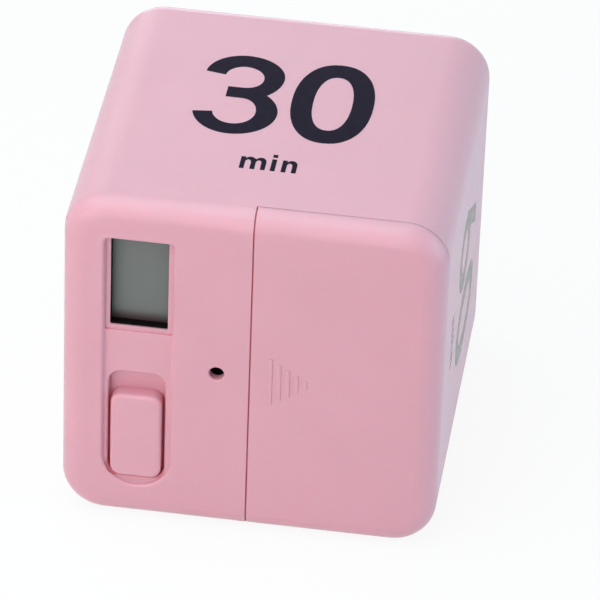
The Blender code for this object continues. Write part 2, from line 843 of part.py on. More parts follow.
def cut_front_openings(shell):
    """The channel with its window and switch slot, the sound hole, and the tongues' notches."""
    turns = [math.radians(90 * step / SMALL_STEPS) for step in range(SMALL_STEPS + 1)]
    cove = [
        (
            CHANNEL_CHAMFER + CHANNEL_COVE * (1 - math.cos(turn)),
            CHANNEL_FLOOR - CHANNEL_COVE * (1 - math.sin(turn)),
        )
        for turn in turns
    ]
    channel = stepped(
        "channel",
        channel_outline,
        [(-CHAMFER_START, FRONT - CHAMFER_START), (CHANNEL_CHAMFER, FRONT + CHANNEL_CHAMFER)] + cove,
    )
    surround_inset = CHANNEL_CHAMFER + SURROUND_INSET
    surround = facing(
        "window_surround",
        rounded_outline(
            CHANNEL_X,
            CHANNEL_WIDTH - 2 * surround_inset,
            WINDOW_BOTTOM - SURROUND_MARGIN,
            CHANNEL_TOP - surround_inset,
            WINDOW_RADIUS,
            CHANNEL_TOP_RADIUS - surround_inset,
            SMALL_STEPS,
        ),
        FRONT - OVERRUN,
        SURROUND_FLOOR,
    )
    recess = rod(
        "sound_recess",
        (HOLE_X, FRONT + HOLE_WALL, HOLE_Z),
        (HOLE_X, FRONT + FRONT_WALL + OVERRUN, HOLE_Z),
        HOLE_RECESS_RADIUS,
    )
    cut(
        shell,
        channel,
        surround,
        facing("window", window_outline(0, WINDOW_RADIUS), FRONT - OVERRUN, SKIRT_BACK),
        around_window("window_back", COLLAR_WALL + GAP, WINDOW_LIP_BACK, SKIRT_BACK),
        opening("switch_slot", slot_outline, CHANNEL_FLOOR, SLOT_CHAMFER, SKIRT_BACK),
        opening("sound_hole", hole_outline, FRONT, HOLE_CHAMFER, FRONT + FRONT_WALL),
        recess,
    )
    for number, z in enumerate(tongue_heights(), 1):
        notch = tongue_box(f"tongue_notch_{number}", z, GAP, RIB_LEFT - BITE, SEAM)
        cut(shell, notch)
    for number, (x, z) in enumerate(boss_places(), 1):
        pilot = rod(
            f"boss_pilot_{number}",
            (x, FRONT + FRONT_WALL + BOSS_FLOOR, z),
            (x, BOARD_BACK, z),
            SCREW_RADIUS + GAP,
            ROUND_SIDES // 2,
        )
        cut(shell, pilot)


def main_shell():
    shell = body_block("main_shell")
    hollow_body(shell)
    join_panel_supports(shell)
    join_rails(shell)
    join_battery_bay(shell)
    cut_front_openings(shell)
    return as_part(shell, "pink_plastic")


def rear_cover():
    """The plate that closes the back, with four barbed arms that hook behind the flange."""
    cover = rear_opening("rear_cover", GAP, REAR_PLATE_FRONT, BACK, REAR_EDGE)
    outer = REAR_SEAT - REAR_LEDGE - GAP
    inner = outer - SNAP_THICKNESS
    root = REAR_PLATE_FRONT + REAR_PLATE / 2
    hook = FLANGE_FRONT - GAP
    tip = hook - SNAP_BARB_LENGTH
    profile = (
        (inner, root),
        (outer, root),
        (outer, hook),
        (outer + SNAP_BARB, hook),
        (outer, tip),
        (inner, tip),
    )
    centre = Matrix.Translation((0, 0, MID))
    for number in range(4):
        quarter = Matrix.Rotation(math.radians(90 * number), 4, "Y")
        arm = outline_solid(
            f"snap_arm_{number + 1}", profile, -SNAP_WIDTH / 2, SNAP_WIDTH / 2, centre @ quarter
        )
        join(cover, arm)
    return as_part(cover, "pink_plastic")


def battery_cover():
    """The right half of the front, hollow behind, with a lip round three sides."""
    cover = body_block("battery_cover")
    front_right = box(
        "front_right",
        (SEAM / 2, FRONT - OVERRUN, -OVERRUN),
        (HALF + OVERRUN, COVER_BACK, SIDE + OVERRUN),
    )
    keep_inside(cover, front_right)
    space = rounded_box(
        "cover_space",
        (-HALF, COVER_SKIN_BACK, COVER_RIM),
        (HALF - COVER_RIM, LIP_FRONT, SIDE - COVER_RIM),
        EDGE_RADIUS - COVER_RIM,
        ARC_STEPS,
    )
    mouth = rounded_box(
        "cover_mouth",
        (-HALF, LIP_FRONT - RAIL_THICKNESS / 2, LIP_TIP),
        (HALF - LIP_TIP, COVER_BACK + OVERRUN, SIDE - LIP_TIP),
        EDGE_RADIUS - LIP_TIP,
        ARC_STEPS,
    )
    cut(cover, space, mouth)
    for number, z in enumerate(tongue_heights(), 1):
        root = box(
            f"tongue_root_{number}",
            (SEAM / 2, COVER_SKIN_BACK - COVER_SKIN / 2, z - TONGUE_WIDTH / 2),
            (
                SEAM / 2 + TONGUE_ROOT,
                TONGUE_FRONT + TONGUE_THICKNESS / 2,
                z + TONGUE_WIDTH / 2,
            ),
        )
        tongue = tongue_box(f"tongue_{number}", z, 0, -TONGUE_REACH, TONGUE_ROOT / 2)
        join(cover, root, tongue)
    middle = MID - ARROW_DROP
    for number, (x, height) in enumerate(arrow_bars(), 1):
        bar = box(
            f"arrow_bar_{number}",
            (x - ARROW_BAR / 2, FRONT - ARROW_RISE, middle - height / 2),
            (x + ARROW_BAR / 2, FRONT + COVER_SKIN / 2, middle + height / 2),
        )
        join(cover, bar)
    return as_part(cover, "pink_plastic")


def arrow_bars():
    """The arrow's bars as X and height, each shorter than the one before it."""
    step = ARROW_TALLEST / ARROW_BARS
    return [(ARROW_START + k * ARROW_PITCH, ARROW_TALLEST - k * step) for k in range(ARROW_BARS)]


def lcd_frame():
    """The black frame behind the window: a collar inside the opening and a pocket for the glass."""
    frame = around_window("lcd_frame", FRAME_EXTRA, SKIRT_FRONT, ON_BOARD_FRONT)
    collar = around_window(
        "frame_collar", COLLAR_WALL, WINDOW_LIP_BACK + GAP, SKIRT_FRONT + FRAME_FRONT / 2
    )
    pocket = around_window(
        "frame_pocket", GLASS_MARGIN + GAP, SKIRT_FRONT + FRAME_FRONT, BOARD_FRONT + OVERRUN
    )
    view = facing("frame_view", window_outline(0, WINDOW_RADIUS), FRONT, GLASS_FRONT)
    join(frame, collar)
    cut(frame, pocket, view)
    return as_part(frame, "black_plastic")


def lcd_panel():
    """The display: a long front sheet, and a shorter rear one that leaves the contact ledge."""
    back = GLASS_FRONT + GLASS_FRONT_SHEET + GLASS_REAR_SHEET
    panel = around_window("lcd_panel", GLASS_MARGIN, GLASS_FRONT, GLASS_FRONT + GLASS_FRONT_SHEET)
    rear = box(
        "rear_sheet",
        (
            CHANNEL_X - GLASS_WIDTH / 2,
            GLASS_FRONT + GLASS_FRONT_SHEET / 2,
            WINDOW_BOTTOM - GLASS_MARGIN,
        ),
        (CHANNEL_X + GLASS_WIDTH / 2, back, GLASS_TOP - GLASS_LEDGE),
    )
    join(panel, rear)
    return as_part(panel, "display_glass")


def lcd_connector():
    """The rubber strip that carries the signals from the board to the glass."""
    half = GLASS_WIDTH / 2 - GAP
    strip = box(
        "lcd_connector",
        (
            CHANNEL_X - half,
            GLASS_FRONT + GLASS_FRONT_SHEET + GAP,
            GLASS_TOP - GLASS_LEDGE + CONNECTOR_INSET,
        ),
        (CHANNEL_X + half, ON_BOARD_FRONT, GLASS_TOP - CONNECTOR_INSET),
    )
    return as_part(strip, "grey_rubber")


def switch_knob():
    """The knob that stands in the slot, on a skirt that keeps the slot covered as it slides."""
    width = SLOT_WIDTH - 2 * KNOB_SIDE_GAP - 2 * KNOB_EDGE
    radius = SLOT_RADIUS - KNOB_SIDE_GAP - KNOB_EDGE
    outline = rounded_outline(
        SLOT_X,
        width,
        KNOB_BOTTOM + KNOB_EDGE,
        KNOB_TOP - KNOB_EDGE,
        radius,
        radius,
        ARC_STEPS,
    )
    inside_skirt = SKIRT_FRONT + (SKIRT + KNOB_EDGE) / 2
    knob = facing(
        "switch_knob", outline, FRONT + KNOB_DROP, inside_skirt, KNOB_EDGE, SMALL_STEPS
    )
    skirt = box(
        "knob_skirt",
        (SLOT_X - SKIRT_HALF, SKIRT_FRONT, KNOB_BOTTOM - SKIRT_REACH),
        (SLOT_X + SKIRT_HALF, SKIRT_BACK, KNOB_TOP + SKIRT_REACH),
    )
    socket = lever_box("knob_socket", GAP, SKIRT_BACK - SKIRT - LEVER_REACH - GAP, SKIRT_BACK + SKIRT)
    join(knob, skirt)
    cut(knob, socket)
    return as_part(knob, "pink_plastic")


def lever_box(name, extra, front, back):
    half_width = LEVER_WIDTH / 2 + extra
    half_length = LEVER_LENGTH / 2 + extra
    return box(
        name,
        (SLOT_X - half_width, front, KNOB_MID - half_length),
        (SLOT_X + half_width, back, KNOB_MID + half_length),
    )


def switch_lever():
    """The switch's own lever, which the knob pushes up and down."""
    lever = lever_box(
        "switch_lever",
        0,
        SKIRT_BACK - SKIRT - LEVER_REACH,
        SWITCH_FRONT + SWITCH_SLOT_DEPTH - GAP,
    )
    return as_part(lever, "white_plastic")


def switch_housing():
    """The slide switch on the board, with the slit that its lever moves in."""
    middle = KNOB_MID + SWITCH_TRAVEL / 2
    half_slit = (SWITCH_TRAVEL + LEVER_LENGTH) / 2 + GAP
    housing = box(
        "switch_housing",
        (SLOT_X - SWITCH_WIDTH / 2, SWITCH_FRONT, middle - SWITCH_LENGTH / 2),
        (SLOT_X + SWITCH_WIDTH / 2, SWITCH_FRONT + SWITCH_DEPTH, middle + SWITCH_LENGTH / 2),
    )
    slit = box(
        "housing_slit",
        (SLOT_X - LEVER_WIDTH / 2 - GAP, SWITCH_FRONT - OVERRUN, middle - half_slit),
        (
            SLOT_X + LEVER_WIDTH / 2 + GAP,
            SWITCH_FRONT + SWITCH_SLOT_DEPTH,
            middle + half_slit,
        ),
    )
    cut(housing, slit)
    return as_part(housing, "steel")


def circuit_board():
    board = rounded_box(
        "circuit_board",
        (BOARD_LOW_X, BOARD_FRONT, BOARD_LOW_Z),
        (BOARD_HIGH_X, BOARD_BACK, BOARD_HIGH_Z),
        BOARD_RADIUS,
        SMALL_STEPS,
    )
    for number, (x, z) in enumerate(boss_places(), 1):
        hole = rod(
            f"board_hole_{number}",
            (x, BOARD_FRONT - OVERRUN, z),
            (x, BOARD_BACK + OVERRUN, z),
            SCREW_RADIUS + GAP,
            ROUND_SIDES // 2,
        )
        cut(board, hole)
    return as_part(board, "green_board")


def board_screws():
    """Three pan-head screws that hold the board on its bosses, driven from behind."""
    tip = FRONT + FRONT_WALL + BOSS_FLOOR + GAP
    length = ON_BOARD_BACK - tip
    neck = SCREW_RADIUS
    profile = (
        (0, SCREW_HEAD),
        (SCREW_HEAD_RADIUS - SCREW_DOME, SCREW_HEAD),
        (SCREW_HEAD_RADIUS, SCREW_HEAD - SCREW_DOME),
        (SCREW_HEAD_RADIUS, 0),
        (neck, 0),
        (neck, SCREW_TIP - length),
        (0, -length),
    )
    for number, (x, z) in enumerate(boss_places(), 1):
        screw = turned(
            f"board_screw_{number}", profile, (x, ON_BOARD_BACK, z), LOOK_BACK, ROUND_SIDES // 2
        )
        half, slim = SCREW_CROSS / 2, SCREW_CROSS_WIDTH / 2
        low, high = ON_BOARD_BACK + SCREW_HEAD - SCREW_CROSS_DEPTH, ON_BOARD_BACK + 2 * SCREW_HEAD
        wide = box(f"cross_{number}_wide", (x - half, low, z - slim), (x + half, high, z + slim))
        tall = box(f"cross_{number}_tall", (x - slim, low, z - half), (x + slim, high, z + half))
        cut(screw, wide, tall)
        as_part(screw, "steel")


def buzzer():
    """A round buzzer on the board's front, as near the sound hole as the cover's rib allows."""
    height = ON_BOARD_FRONT - SKIRT_FRONT
    profile = (
        (0, height - BUZZER_PORT_DEPTH),
        (BUZZER_PORT_RADIUS, height - BUZZER_PORT_DEPTH),
        (BUZZER_PORT_RADIUS, height),
        (BUZZER_RADIUS - BUZZER_STEP, height),
        (BUZZER_RADIUS, height - BUZZER_STEP),
        (BUZZER_RADIUS, 0),
        (0, 0),
    )
    part = turned("buzzer", profile, (BUZZER_X, ON_BOARD_FRONT, HOLE_Z), FACE_FRONT)
    return as_part(part, "black_plastic")


def status_led():
    """A small lamp on the board's front, above the buzzer, which flashes as the time runs."""
    dome = [
        (LED_RADIUS * math.sin(a), LED_HEIGHT - LED_RADIUS + LED_RADIUS * math.cos(a))
        for a in [math.radians(90 * step / ARC_STEPS) for step in range(ARC_STEPS + 1)]
    ]
    flange = LED_RADIUS + LED_FLANGE
    profile = dome + [
        (LED_RADIUS, LED_FLANGE_HEIGHT),
        (flange, LED_FLANGE_HEIGHT),
        (flange, 0),
        (0, 0),
    ]
    place = (BUZZER_X, ON_BOARD_FRONT, HOLE_Z + LED_RISE)
    part = turned("status_led", profile, place, FACE_FRONT)
    return as_part(part, "clear_led")


def chip_cover():
    """The drop of black resin over the timer chip: a low dome, flat on the board."""
    bow = (CHIP_RADIUS**2 + CHIP_HEIGHT**2) / (2 * CHIP_HEIGHT)
    reach = math.asin(CHIP_RADIUS / bow)
    dome = [
        (bow * math.sin(a), CHIP_HEIGHT - bow + bow * math.cos(a))
        for a in [reach * step / ARC_STEPS for step in range(ARC_STEPS + 1)]
    ]
    x, z = on_board(CHIP_ACROSS, CHIP_UP)
    part = turned("chip_cover", dome + [(0, 0)], (x, ON_BOARD_BACK, z), LOOK_BACK)
    return as_part(part, "black_epoxy")


def crystal():
    """A round can that lies on the board."""
    x, z = on_board(CRYSTAL_ACROSS, CRYSTAL_UP)
    y = ON_BOARD_BACK + CRYSTAL_RADIUS
    part = rod(
        "crystal",
        (x, y, z - CRYSTAL_LENGTH / 2),
        (x, y, z + CRYSTAL_LENGTH / 2),
        CRYSTAL_RADIUS,
        ROUND_SIDES // 2,
    )
    return as_part(part, "nickel")


def capacitor():
    """A can with the rolled groove near its foot."""
    groove = CAPACITOR_GROOVE
    profile = (
        (0, CAPACITOR_HEIGHT),
        (CAPACITOR_RADIUS - groove, CAPACITOR_HEIGHT),
        (CAPACITOR_RADIUS, CAPACITOR_HEIGHT - groove),
        (CAPACITOR_RADIUS, CAPACITOR_FOOT + 2 * groove),
        (CAPACITOR_RADIUS - groove, CAPACITOR_FOOT + groove),
        (CAPACITOR_RADIUS, CAPACITOR_FOOT),
        (CAPACITOR_RADIUS, 0),
        (0, 0),
    )
    x, z = on_board(CAPACITOR_ACROSS, CAPACITOR_UP)
    part = turned("capacitor", profile, (x, ON_BOARD_BACK, z), LOOK_BACK)
    return as_part(part, "black_plastic")


def tilt_sensor():
    """The box with a loose ball that tells the board which side is up."""
    half = SENSOR_SIZE / 2
    x, z = on_board(SENSOR_ACROSS, SENSOR_UP)
    part = rounded_box(
        "tilt_sensor",
        (x - half, ON_BOARD_BACK, z - half),
        (x + half, ON_BOARD_BACK + SENSOR_HEIGHT, z + half),
        SENSOR_BEVEL,
        SMALL_STEPS,
    )
    return as_part(part, "white_plastic")


def resistors():
    for number in (1, 2):
        x, z = on_board(RESISTOR_ACROSS, RESISTOR_UP + (number - 1) * RESISTOR_PITCH)
        part = box(
            f"resistor_{number}",
            (x - RESISTOR_LENGTH / 2, ON_BOARD_BACK, z - RESISTOR_WIDTH / 2),
            (
                x + RESISTOR_LENGTH / 2,
                ON_BOARD_BACK + RESISTOR_HEIGHT,
                z + RESISTOR_WIDTH / 2,
            ),
        )
        as_part(part, "black_resistor")


def cell_places():
    """The X of each cell. The first stands with its plus end up, the second with it down."""
    return (CELL_X - CELL_SPREAD / 2, CELL_X + CELL_SPREAD / 2)


def cells():
    """Two AAA cells that stand side by side."""
    can = CELL_LENGTH - NUB_HEIGHT
    profile = (
        (0, CELL_LENGTH),
        (NUB_RADIUS, CELL_LENGTH),
        (NUB_RADIUS, can),
        (CELL_RADIUS - CELL_RIM, can),
        (CELL_RADIUS, can - CELL_RIM),
        (CELL_RADIUS, CELL_RIM),
        (CELL_RADIUS - CELL_RIM, 0),
        (0, 0),
    )
    left, right = cell_places()
    upright = Matrix.Identity(4)
    turned_over = Matrix.Rotation(math.radians(180), 4, "X")
    foot = BAY_LOW_Z + MINUS_STACK
    head = BAY_HIGH_Z - MINUS_STACK
    first = turned("battery_1", profile, (left, CELL_Y, foot), upright, CELL_SIDES)
    second = turned("battery_2", profile, (right, CELL_Y, head), turned_over, CELL_SIDES)
    as_part(first, "cell_jacket")
    as_part(second, "cell_jacket")


def contact_plate(name, x, dimple):
    """A plate at the bay's upper end, with a tab out through the back wall."""
    high = BAY_HIGH_Z - GAP
    wide, slim = PLATE_WIDTH / 2, TAB_WIDTH / 2
    outline = (
        (x - wide, PLATE_LOW_Y),
        (x + wide, PLATE_LOW_Y),
        (x + wide, PLATE_HIGH_Y),
        (x + slim, PLATE_HIGH_Y),
        (x + slim, TAB_BACK),
        (x - slim, TAB_BACK),
        (x - slim, PLATE_HIGH_Y),
        (x - wide, PLATE_HIGH_Y),
    )
    plate = outline_solid(name, outline, high - PLATE, high, Matrix.Identity(4))
    if dimple:
        bump = rod(
            f"{name}_dimple",
            (x, CELL_Y, high - PLATE - DIMPLE_HEIGHT),
            (x, CELL_Y, high - PLATE / 2),
            DIMPLE_RADIUS,
        )
        join(plate, bump)
    return as_part(plate, "nickel")


def link_contact():
    """The plate at the bay's lower end that joins one cell's minus to the other's plus."""
    left, right = cell_places()
    low = BAY_LOW_Z + GAP
    plate = box(
        "link_contact",
        (left - PLATE_WIDTH / 2, PLATE_LOW_Y, low),
        (right + PLATE_WIDTH / 2, PLATE_HIGH_Y, low + PLATE),
    )
    bump = rod(
        "link_dimple",
        (right, CELL_Y, low + PLATE / 2),
        (right, CELL_Y, low + PLATE + DIMPLE_HEIGHT),
        DIMPLE_RADIUS,
    )
    join(plate, bump)
    return as_part(plate, "nickel")


def spring_points(x, wide_z, narrow_z):
    """A coil that narrows from the plate to the cell, on the middle of its wire."""
    way = 1 if narrow_z > wide_z else -1
    start = wide_z + way * SPRING_WIRE / 2
    rise = narrow_z - way * SPRING_WIRE / 2 - start
    count = round(CURL_POINTS * SPRING_CURLS)
    points = []
    for step in range(count + 1):
        share = step / count
        angle = math.tau * SPRING_CURLS * share
        radius = SPRING_WIDE_RADIUS + (SPRING_NARROW_RADIUS - SPRING_WIDE_RADIUS) * share
        points.append(
            (x + radius * math.cos(angle), CELL_Y + radius * math.sin(angle), start + rise * share)
        )
    return points


def least_gap(points):
    """The least distance between stretches of the wire half a curl or more apart."""
    apart = CURL_POINTS // 2
    return min(
        math.dist(first, second)
        for index, first in enumerate(points)
        for second in points[index + apart + 1 :]
    ) - SPRING_WIRE


def contact_springs():
    left, right = cell_places()
    upper = BAY_HIGH_Z - GAP - PLATE - GAP
    lower = BAY_LOW_Z + GAP + PLATE + GAP
    for name, x, wide_z, narrow_z in (
        ("minus_spring", right, upper, upper - SPRING_HEIGHT),
        ("link_spring", left, lower, lower + SPRING_HEIGHT),
    ):
        points = spring_points(x, wide_z, narrow_z)
        print(f"{name}: least gap to itself {least_gap(points) / MM:.2f} mm")
        as_part(tube(name, points, SPRING_WIRE / 2, 1), "nickel")


def smooth_route(stations):
    """Points on a smooth curve through the stations, with straight first and last stretches."""
    points = [stations[0]]
    for before, start, end, after in zip(stations, stations[1:], stations[2:], stations[3:]):
        for step in range(WIRE_STEPS):
            t = step / WIRE_STEPS
            first = (end - before) * t
            second = (2 * before - 5 * start + 4 * end - after) * t**2
            third = (3 * start - before - 3 * end + after) * t**3
            points.append(start + (first + second + third) / 2)
    return points + [stations[-2], stations[-1]]


def wires():
    """The two wires from under the contact tabs, along the back of the bay and to the board."""
    left, right = cell_places()
    under_tab = BAY_HIGH_Z - GAP - PLATE - GAP - WIRE_RADIUS
    behind = BAY_FLOOR + BAY_WALL + GAP + WIRE_RADIUS
    edge = BAY_LOW_X - BAY_WALL
    land_x = edge - WIRE_BEND
    for name, x, drop, land_z in (
        ("wire_red", left, WIRE_DROP, BOARD_HIGH_Z - WIRE_LAND_MARGIN),
        (
            "wire_black",
            right,
            WIRE_DROP + WIRE_PITCH,
            BOARD_HIGH_Z - WIRE_LAND_MARGIN - WIRE_SPREAD,
        ),
    ):
        start = Vector((x, behind, under_tab))
        out = start - Vector((WIRE_BEND / 2, 0, 0))
        corner = Vector((edge - WIRE_BEND / 2, behind, under_tab - drop))
        stations = [
            start,
            out,
            Vector(((out.x + corner.x) / 2, behind, under_tab - drop)),
            corner,
            Vector((land_x, behind - WIRE_BEND, (under_tab + land_z) / 2)),
            Vector((land_x, ON_BOARD_BACK + WIRE_BEND / 2, land_z)),
            Vector((land_x, ON_BOARD_BACK, land_z)),
        ]
        as_part(tube(name, smooth_route(stations), WIRE_RADIUS, 2), name)


def build():
    main_shell()
    rear_cover()
    cover = battery_cover()
    lcd_frame()
    lcd_panel()
    lcd_connector()
    knob = switch_knob()
    lever = switch_lever()
    switch_housing()
    circuit_board()
    board_screws()
    buzzer()
    status_led()
    chip_cover()
    crystal()
    capacitor()
    tilt_sensor()
    resistors()
    cells()
    left, right = cell_places()
    contact_plate("plus_contact", left, dimple=True)
    contact_plate("minus_contact", right, dimple=False)
    link_contact()
    contact_springs()
    wires()
    hang(axis_empty("switch_slide_axis", (SLOT_X, SKIRT_FRONT, KNOB_MID)), knob, lever)
    hang(axis_empty("battery_cover_slide_axis", (0, COVER_BACK, MID)), cover)


build()
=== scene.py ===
"""Cube timer: the looks, the printed numbers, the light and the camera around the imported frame.

Metres, with the display towards -Y and the cube standing on Z = 0.
"""

import json
import math

import bpy
from mathutils import Matrix, Vector


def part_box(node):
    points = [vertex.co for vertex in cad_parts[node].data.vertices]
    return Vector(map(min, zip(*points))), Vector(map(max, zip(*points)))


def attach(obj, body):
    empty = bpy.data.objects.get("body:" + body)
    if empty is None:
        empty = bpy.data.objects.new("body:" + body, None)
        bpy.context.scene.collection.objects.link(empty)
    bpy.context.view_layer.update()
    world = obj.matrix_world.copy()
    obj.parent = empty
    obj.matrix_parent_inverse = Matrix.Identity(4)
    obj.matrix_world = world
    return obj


MM = 0.001

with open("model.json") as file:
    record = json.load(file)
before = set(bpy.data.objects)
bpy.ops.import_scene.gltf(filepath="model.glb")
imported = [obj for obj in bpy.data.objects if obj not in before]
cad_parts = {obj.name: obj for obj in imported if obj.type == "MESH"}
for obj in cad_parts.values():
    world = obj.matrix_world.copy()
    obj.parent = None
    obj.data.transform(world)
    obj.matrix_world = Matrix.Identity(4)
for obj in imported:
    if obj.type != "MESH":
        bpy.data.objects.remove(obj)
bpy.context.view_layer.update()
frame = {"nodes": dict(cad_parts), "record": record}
NODES = frame["nodes"]
SIDE = 62 * MM
HALF = SIDE / 2


# Shading of the CAD nodes: joined vertices, smooth faces, sharp edges from their angle

JOIN_WITHIN = 0.001 * MM
SHARP_ANGLE = math.radians(30)


def smooth_group():
    group = bpy.data.node_groups.new("join_and_smooth", "GeometryNodeTree")
    group.interface.new_socket("Geometry", in_out="INPUT", socket_type="NodeSocketGeometry")
    group.interface.new_socket("Geometry", in_out="OUTPUT", socket_type="NodeSocketGeometry")
    start = group.nodes.new("NodeGroupInput")
    merge = group.nodes.new("GeometryNodeMergeByDistance")
    merge.inputs["Distance"].default_value = JOIN_WITHIN
    angle = group.nodes.new("GeometryNodeInputMeshEdgeAngle")
    sharp = group.nodes.new("FunctionNodeCompare")
    sharp.operation = "GREATER_THAN"
    sharp.inputs["B"].default_value = SHARP_ANGLE
    normals = group.nodes.new("GeometryNodeSetMeshNormal")
    normals.mode = "SHARPNESS"
    normals.inputs["Remove Custom"].default_value = True
    normals.inputs["Face Sharpness"].default_value = False
    end = group.nodes.new("NodeGroupOutput")
    group.links.new(start.outputs["Geometry"], merge.inputs["Geometry"])
    group.links.new(merge.outputs["Geometry"], normals.inputs["Mesh"])
    group.links.new(angle.outputs["Unsigned Angle"], sharp.inputs["A"])
    group.links.new(sharp.outputs["Result"], normals.inputs["Edge Sharpness"])
    group.links.new(normals.outputs["Mesh"], end.inputs["Geometry"])
    return group


SMOOTH = smooth_group()


def shade(obj):
    obj.modifiers.new("Join and smooth", "NODES").node_group = SMOOTH
    even = obj.modifiers.new("Even shading", "WEIGHTED_NORMAL")
    even.keep_sharp = True


# Materials

def srgb(red, green, blue):
    """A colour as it looks on a screen, from 0 to 255, as linear values."""
    values = []
    for value in (red, green, blue):
        share = value / 255
        values.append(share / 12.92 if share <= 0.04045 else ((share + 0.055) / 1.055) ** 2.4)
    return (*values, 1.0)


class Nodes:
    """A material's node tree with short calls for the nodes that the finishes share."""

    def __init__(self, name):
        self.material = bpy.data.materials.new(name)
        self.material.use_nodes = True
        self.tree = self.material.node_tree
        self.shader = self.tree.nodes["Principled BSDF"]
        self.place = self.add("ShaderNodeTexCoord").outputs["Object"]

    def add(self, kind, **settings):
        node = self.tree.nodes.new(kind)
        for key, value in settings.items():
            setattr(node, key, value)
        return node

    def feed(self, socket, value):
        if isinstance(value, bpy.types.NodeSocket):
            self.tree.links.new(value, socket)
        else:
            socket.default_value = value

    def noise(self, size, detail=3.0, roughness=0.55, stretch=None):
        """Noise from 0 to 1 whose features are about that size in metres."""
        node = self.add("ShaderNodeTexNoise")
        node.inputs["Scale"].default_value = 1 / size
        node.inputs["Detail"].default_value = detail
        node.inputs["Roughness"].default_value = roughness
        place = self.place
        if stretch:
            mapping = self.add("ShaderNodeMapping")
            mapping.inputs["Scale"].default_value = stretch
            self.feed(mapping.inputs["Vector"], self.place)
            place = mapping.outputs["Vector"]
        self.feed(node.inputs["Vector"], place)
        return node.outputs["Fac"]

    def spread(self, value, low, high, to_low=0.0, to_high=1.0):
        """A value stretched from one range to another and kept within it."""
        node = self.add("ShaderNodeMapRange")
        for key, number in (
            ("Value", value),
            ("From Min", low),
            ("From Max", high),
            ("To Min", to_low),
            ("To Max", to_high),
        ):
            self.feed(node.inputs[key], number)
        return node.outputs["Result"]

    def math(self, operation, first, second=0.0):
        node = self.add("ShaderNodeMath", operation=operation)
        self.feed(node.inputs[0], first)
        self.feed(node.inputs[1], second)
        return node.outputs["Value"]

    def mix(self, factor, first, second):
        node = self.add("ShaderNodeMix", data_type="RGBA")
        self.feed(node.inputs["Factor"], factor)
        self.feed(node.inputs[6], first)
        self.feed(node.inputs[7], second)
        return node.outputs[2]

    def axis(self, letter):
        node = self.add("ShaderNodeSeparateXYZ")
        self.feed(node.inputs["Vector"], self.place)
        return node.outputs[letter]

    def edges(self, radius, samples=8):
        """The normal rounded over near edges, and how far it turns away from the face."""
        bevel = self.add("ShaderNodeBevel", samples=samples)
        bevel.inputs["Radius"].default_value = radius
        face = self.add("ShaderNodeNewGeometry")
        dot = self.add("ShaderNodeVectorMath", operation="DOT_PRODUCT")
        self.feed(dot.inputs[0], bevel.outputs["Normal"])
        self.feed(dot.inputs[1], face.outputs["Normal"])
        turned = self.math("SUBTRACT", 1.0, dot.outputs["Value"])
        return bevel.outputs["Normal"], self.spread(turned, 0.02, 0.3)

    def crevices(self, reach):
        """How far a place is shut in by faces within reach, as a mask for painted shade: 0 in the
        open, 1 far down in a gap.
        """
        node = self.add("ShaderNodeAmbientOcclusion", samples=8)
        node.inputs["Distance"].default_value = reach
        return self.spread(node.outputs["AO"], 0.2, 0.6, 1.0, 0.0)

    def bump(self, height, distance, strength=1.0, normal=None):
        node = self.add("ShaderNodeBump")
        node.inputs["Strength"].default_value = strength
        node.inputs["Distance"].default_value = distance
        self.feed(node.inputs["Height"], height)
        if normal is not None:
            self.feed(node.inputs["Normal"], normal)
        return node.outputs["Normal"]

    def finish(self, colour, roughness, normal=None, **fixed):
        self.feed(self.shader.inputs["Base Color"], colour)
        self.feed(self.shader.inputs["Roughness"], roughness)
        if normal is not None:
            self.feed(self.shader.inputs["Normal"], normal)
        for key, value in fixed.items():
            self.shader.inputs[key.replace("_", " ")].default_value = value
        return self.material


def darker(colour, share):
    return (colour[0] * share, colour[1] * share, colour[2] * share, 1.0)


def mixed_white(colour, share):
    return tuple(value + (1 - value) * share for value in colour[:3]) + (1.0,)


GAP_REACH = 1.0 * MM
GAP_ROUGHNESS = 0.95


def moulded(name, colour, roughness, grain, grain_depth, edge, wear, gap_shade=None, **fixed):
    """Moulded plastic: flow shades, a fine spark-eroded grain and slightly worn edges.

    With a gap shade colour, gaps are painted towards it and go matt: painted shade for the dim,
    coloured light between walls of that colour.
    """
    n = Nodes(name)
    flow = n.noise(14 * MM, 4.0, 0.5)
    specks = n.noise(0.5 * MM, 2.0)
    shade_value = n.math("ADD", n.math("MULTIPLY", flow, 0.7), n.math("MULTIPLY", specks, 0.3))
    tone = n.mix(n.spread(shade_value, 0.35, 0.65), darker(colour, 0.965), colour)
    rounded, edge_share = n.edges(edge)
    scuffs = n.spread(n.noise(3 * MM, 5.0, 0.7), 0.35, 0.75)
    worn = n.math("MULTIPLY", edge_share, n.math("MULTIPLY", scuffs, wear))
    tone = n.mix(worn, tone, mixed_white(colour, 0.35))
    rough = n.spread(n.noise(2.2 * MM, 3.0, 0.6), 0.3, 0.7, roughness - 0.04, roughness + 0.05)
    rough = n.math("SUBTRACT", rough, n.math("MULTIPLY", worn, 0.1))
    # Painted shade: gaps are tinted towards the gap shade colour by how shut in they are.
    if gap_shade:
        shut_in = n.crevices(GAP_REACH)
        tone = n.mix(shut_in, tone, gap_shade)
        rough = n.math("MAXIMUM", rough, n.math("MULTIPLY", shut_in, GAP_ROUGHNESS))
    height = n.noise(grain, 2.0, 0.6)
    normal = n.bump(height, grain_depth, 0.6, rounded)
    return n.finish(tone, rough, normal, **fixed)


